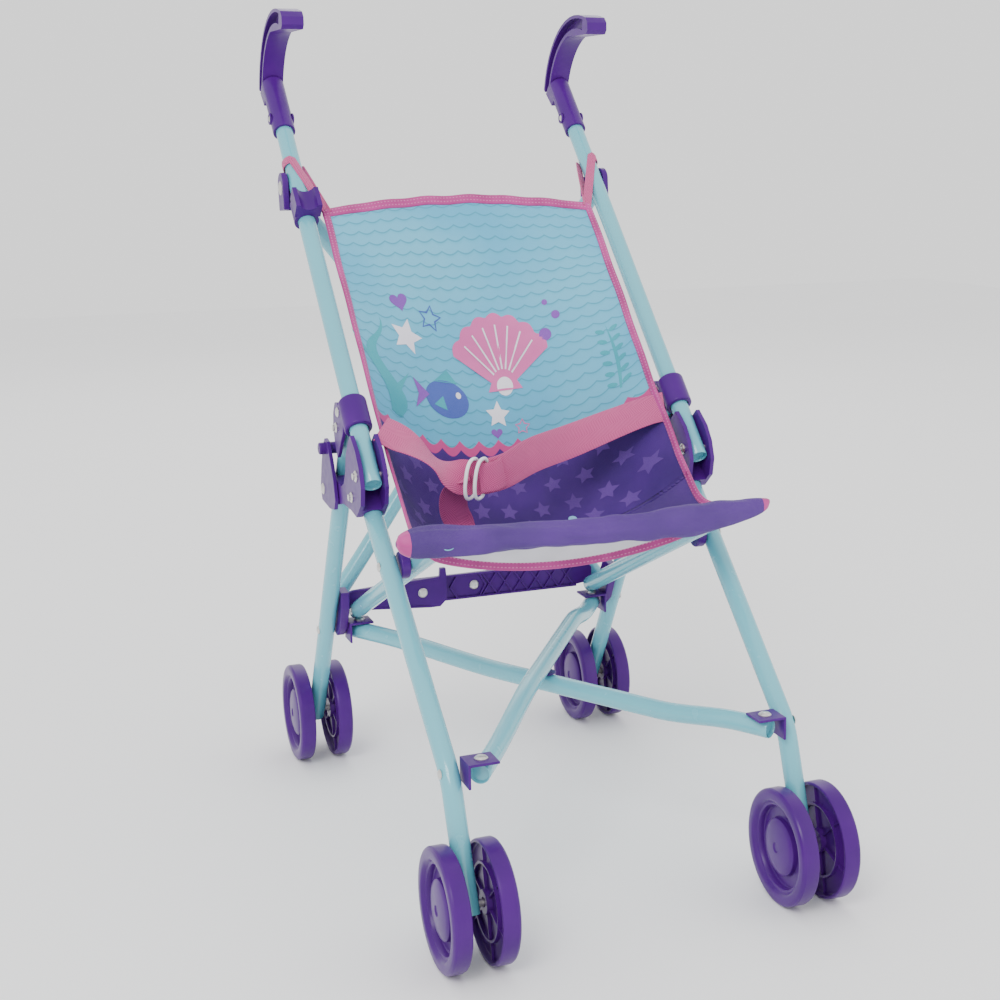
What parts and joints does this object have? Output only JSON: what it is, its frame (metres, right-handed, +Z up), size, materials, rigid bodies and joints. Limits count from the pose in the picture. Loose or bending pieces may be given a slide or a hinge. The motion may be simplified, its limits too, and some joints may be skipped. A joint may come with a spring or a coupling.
{
  "type": "doll stroller",
  "caption": "Folding umbrella-style doll stroller: aqua tube frame with crossed braces, purple hook grips and twin wheels, and a printed sling seat with lap belt.",
  "frame": {"origin": "on the floor, under the middle of the stroller's bounding box", "axes": "+Z up, the stroller faces -Y, +X to the right of someone facing it"},
  "size_m": [0.2772, 0.4818, 0.5745],
  "materials": {
    "aqua_paint": "gloss aqua enamel on steel tube",
    "purple_plastic": "moulded, semi-gloss",
    "plated_steel": "nickel-plated rivets and pins",
    "printed_fabric": "plain-weave polyester with a printed wave pattern",
    "purple_fabric": "plain-weave polyester with tonal stars",
    "pink_webbing": "herringbone webbing and binding"
  },
  "bodies": {
    "left_front_leg": {"front_leg_left": "aqua_paint", "knee_bracket_left": "purple_plastic", "knee_pin_left": "plated_steel", "knee_rivet_left": "plated_steel", "front_axle_left": "plated_steel"},
    "left_handle": {"handle_tube_left": "aqua_paint", "grip_left": "purple_plastic", "clamp_collar_left": "purple_plastic", "seat_loop_left": "pink_webbing", "storage_clip": "purple_plastic", "seat_back": "printed_fabric", "lap_belt": "pink_webbing"},
    "left_rear_leg": {"rear_leg_left": "aqua_paint", "rear_leg_pin_left": "plated_steel", "rear_bracket_left": "purple_plastic", "rear_axle_left": "plated_steel"},
    "left_lever": {"release_lever_left": "purple_plastic"},
    "left_seat_rail": {"seat_rail_left": "aqua_paint", "rail_spacer_left": "purple_plastic", "seat_pan": "purple_fabric", "crotch_strap": "pink_webbing"},
    "left_top_bracket": {"top_bracket_left": "purple_plastic"},
    "left_front_bracket": {"floor_bracket_front_left": "purple_plastic"},
    "left_rear_bracket": {"floor_bracket_rear_left": "purple_plastic"},
    "left_lock_link": {"lock_link_left": "purple_plastic"},
    "front_wheel_left_outer": {"front_wheel_left_outer": "purple_plastic"},
    "front_wheel_left_inner": {"front_wheel_left_inner": "purple_plastic"},
    "rear_wheel_left_outer": {"rear_wheel_left_outer": "purple_plastic"},
    "rear_wheel_left_inner": {"rear_wheel_left_inner": "purple_plastic"},
    "right_front_leg": {"front_leg_right": "aqua_paint", "knee_bracket_right": "purple_plastic", "knee_pin_right": "plated_steel", "knee_rivet_right": "plated_steel", "front_axle_right": "plated_steel"},
    "right_handle": {"handle_tube_right": "aqua_paint", "grip_right": "purple_plastic", "clamp_collar_right": "purple_plastic", "seat_loop_right": "pink_webbing"},
    "right_rear_leg": {"rear_leg_right": "aqua_paint", "rear_leg_pin_right": "plated_steel", "rear_bracket_right": "purple_plastic", "rear_axle_right": "plated_steel"},
    "right_lever": {"release_lever_right": "purple_plastic"},
    "right_seat_rail": {"seat_rail_right": "aqua_paint", "rail_spacer_right": "purple_plastic"},
    "right_top_bracket": {"top_bracket_right": "purple_plastic"},
    "right_front_bracket": {"floor_bracket_front_right": "purple_plastic"},
    "right_rear_bracket": {"floor_bracket_rear_right": "purple_plastic"},
    "right_lock_link": {"lock_link_right": "purple_plastic"},
    "front_wheel_right_outer": {"front_wheel_right_outer": "purple_plastic"},
    "front_wheel_right_inner": {"front_wheel_right_inner": "purple_plastic"},
    "rear_wheel_right_outer": {"rear_wheel_right_outer": "purple_plastic"},
    "rear_wheel_right_inner": {"rear_wheel_right_inner": "purple_plastic"},
    "top_brace_front": {"top_brace_front": "aqua_paint"},
    "top_brace_back": {"top_brace_back": "aqua_paint"},
    "floor_brace_upper": {"floor_brace_upper": "aqua_paint"},
    "floor_brace_lower": {"floor_brace_lower": "aqua_paint", "brace_spacer": "purple_plastic"}
  },
  "joints": [
    {"name": "fold", "type": "hinge", "parent": "left_front_leg", "child": "left_handle", "pos_m": [-0.118, -0.03114, 0.2641], "axis": [1, 0, 0], "range_deg": [0, 115], "deforming": ["seat_back", "seat_pan", "lap_belt", "crotch_strap"]},
    {"name": "left_rear_leg_swing", "type": "hinge", "parent": "left_handle", "child": "left_rear_leg", "pos_m": [-0.118, 0.01956, 0.2885], "axis": [1, 0, 0], "range_deg": [-56.6, 0]},
    {"name": "left_seat_rail_swing", "type": "hinge", "parent": "left_front_leg", "child": "left_seat_rail", "pos_m": [-0.096, -0.06094, 0.2093], "axis": [1, 0, 0], "range_deg": [0, 52.1]},
    {"name": "left_top_bracket_swing", "type": "hinge", "parent": "left_handle", "child": "left_top_bracket", "pos_m": [-0.118, 0.15806, 0.433], "axis": [1, 0, 0], "range_deg": [-28.4, 0]},
    {"name": "top_brace_swing", "type": "hinge", "parent": "left_top_bracket", "child": "top_brace_front", "pos_m": [-0.116, 0.15806, 0.433], "axis": [0, 0.9971, -0.0758], "range_deg": [0, 27.4]},
    {"name": "top_brace_cross", "type": "hinge", "parent": "top_brace_front", "child": "top_brace_back", "pos_m": [0, 0.14631, 0.2785], "axis": [0, 0.9971, -0.0758], "range_deg": [-54.7, 0]},
    {"name": "right_top_brace_swing", "type": "hinge", "parent": "top_brace_back", "child": "right_top_bracket", "pos_m": [0.116, 0.15806, 0.433], "axis": [0, 0.9971, -0.0758], "range_deg": [0, 27.4]},
    {"name": "right_top_bracket_swing", "type": "hinge", "parent": "right_top_bracket", "child": "right_handle", "pos_m": [0.118, 0.15806, 0.433], "axis": [1, 0, 0], "range_deg": [0, 28.4]},
    {"name": "right_rear_leg_swing", "type": "hinge", "parent": "right_handle", "child": "right_rear_leg", "pos_m": [0.118, 0.01956, 0.2885], "axis": [1, 0, 0], "range_deg": [-56.6, 0]},
    {"name": "right_knee_swing", "type": "hinge", "parent": "right_handle", "child": "right_front_leg", "pos_m": [0.118, -0.03114, 0.2641], "axis": [1, 0, 0], "range_deg": [-115.1, 0]},
    {"name": "right_seat_rail_swing", "type": "hinge", "parent": "right_front_leg", "child": "right_seat_rail", "pos_m": [0.096, -0.06094, 0.2093], "axis": [1, 0, 0], "range_deg": [0, 52.1]},
    {"name": "left_front_bracket_swing", "type": "hinge", "parent": "left_front_leg", "child": "left_front_bracket", "pos_m": [-0.095, -0.18144, 0.11], "axis": [1, 0, 0], "range_deg": [0, 28.2]},
    {"name": "floor_brace_swing", "type": "hinge", "parent": "left_front_bracket", "child": "floor_brace_upper", "pos_m": [-0.095, -0.18144, 0.11], "axis": [0, -0.0223, 0.9998], "range_deg": [0, 29.6]},
    {"name": "floor_brace_cross", "type": "hinge", "parent": "floor_brace_upper", "child": "floor_brace_lower", "pos_m": [0, -0.03604, 0.11325], "axis": [0, -0.0223, 0.9998], "range_deg": [-59.1, 0]},
    {"name": "right_front_bracket_swing", "type": "hinge", "parent": "floor_brace_lower", "child": "right_front_bracket", "pos_m": [0.095, -0.18144, 0.11], "axis": [0, -0.0223, 0.9998], "range_deg": [0, 29.6]},
    {"name": "left_rear_bracket_swing", "type": "hinge", "parent": "floor_brace_lower", "child": "left_rear_bracket", "pos_m": [-0.095, 0.10936, 0.1165], "axis": [0, -0.0223, 0.9998], "range_deg": [0, 29.6]},
    {"name": "right_rear_bracket_swing", "type": "hinge", "parent": "floor_brace_upper", "child": "right_rear_bracket", "pos_m": [0.095, 0.10936, 0.1165], "axis": [0, -0.0223, 0.9998], "range_deg": [-29.6, 0]},
    {"name": "left_lock_link_swing", "type": "hinge", "parent": "left_rear_leg", "child": "left_lock_link", "pos_m": [-0.096, 0.12026, 0.1375], "axis": [0, -1, 0], "range_deg": [0, 82.9]},
    {"name": "right_lock_link_swing", "type": "hinge", "parent": "right_rear_leg", "child": "right_lock_link", "pos_m": [0.096, 0.12566, 0.1375], "axis": [0, 1, 0], "range_deg": [0, 82.9]},
    {"name": "left_lever_press", "type": "hinge", "parent": "left_front_leg", "child": "left_lever", "pos_m": [-0.118, 0.05356, 0.24], "axis": [-1, 0, 0], "range_deg": [0, 20], "stiffness_Nm_per_rad": 0.05},
    {"name": "right_lever_press", "type": "hinge", "parent": "right_front_leg", "child": "right_lever", "pos_m": [0.118, 0.05356, 0.24], "axis": [-1, 0, 0], "range_deg": [0, 20], "stiffness_Nm_per_rad": 0.05},
    {"name": "front_wheel_left_outer_spin", "type": "hinge", "parent": "left_front_leg", "child": "front_wheel_left_outer", "pos_m": [-0.12675, -0.20344, 0.0375], "axis": [1, 0, 0], "continuous": true},
    {"name": "front_wheel_left_inner_spin", "type": "hinge", "parent": "left_front_leg", "child": "front_wheel_left_inner", "pos_m": [-0.09725, -0.20344, 0.0375], "axis": [1, 0, 0], "continuous": true},
    {"name": "rear_wheel_left_outer_spin", "type": "hinge", "parent": "left_rear_leg", "child": "rear_wheel_left_outer", "pos_m": [-0.13275, 0.16736, 0.0375], "axis": [1, 0, 0], "continuous": true},
    {"name": "rear_wheel_left_inner_spin", "type": "hinge", "parent": "left_rear_leg", "child": "rear_wheel_left_inner", "pos_m": [-0.10325, 0.16736, 0.0375], "axis": [1, 0, 0], "continuous": true},
    {"name": "front_wheel_right_outer_spin", "type": "hinge", "parent": "right_front_leg", "child": "front_wheel_right_outer", "pos_m": [0.12675, -0.20344, 0.0375], "axis": [1, 0, 0], "continuous": true},
    {"name": "front_wheel_right_inner_spin", "type": "hinge", "parent": "right_front_leg", "child": "front_wheel_right_inner", "pos_m": [0.09725, -0.20344, 0.0375], "axis": [1, 0, 0], "continuous": true},
    {"name": "rear_wheel_right_outer_spin", "type": "hinge", "parent": "right_rear_leg", "child": "rear_wheel_right_outer", "pos_m": [0.13275, 0.16736, 0.0375], "axis": [1, 0, 0], "continuous": true},
    {"name": "rear_wheel_right_inner_spin", "type": "hinge", "parent": "right_rear_leg", "child": "rear_wheel_right_inner", "pos_m": [0.10325, 0.16736, 0.0375], "axis": [1, 0, 0], "continuous": true}
  ],
  "couplings": [
    {"joint": "left_rear_leg_swing", "follows": "fold", "ratio": -0.4915},
    {"joint": "left_seat_rail_swing", "follows": "fold", "ratio": 0.452},
    {"joint": "left_top_bracket_swing", "follows": "fold", "ratio": -0.2462},
    {"joint": "top_brace_swing", "follows": "fold", "ratio": 0.2374},
    {"joint": "top_brace_cross", "follows": "fold", "ratio": -0.4748},
    {"joint": "right_top_brace_swing", "follows": "fold", "ratio": 0.2374},
    {"joint": "right_top_bracket_swing", "follows": "fold", "ratio": 0.2462},
    {"joint": "right_rear_leg_swing", "follows": "fold", "ratio": -0.4915},
    {"joint": "right_knee_swing", "follows": "fold", "ratio": -1},
    {"joint": "right_seat_rail_swing", "follows": "fold", "ratio": 0.452},
    {"joint": "left_front_bracket_swing", "follows": "fold", "ratio": 0.2444},
    {"joint": "floor_brace_swing", "follows": "fold", "ratio": 0.2567},
    {"joint": "floor_brace_cross", "follows": "fold", "ratio": -0.5134},
    {"joint": "right_front_bracket_swing", "follows": "fold", "ratio": 0.2567},
    {"joint": "left_rear_bracket_swing", "follows": "fold", "ratio": 0.2567},
    {"joint": "right_rear_bracket_swing", "follows": "fold", "ratio": -0.2567},
    {"joint": "left_lock_link_swing", "follows": "fold", "ratio": 0.7202},
    {"joint": "right_lock_link_swing", "follows": "fold", "ratio": 0.7202}
  ]
}
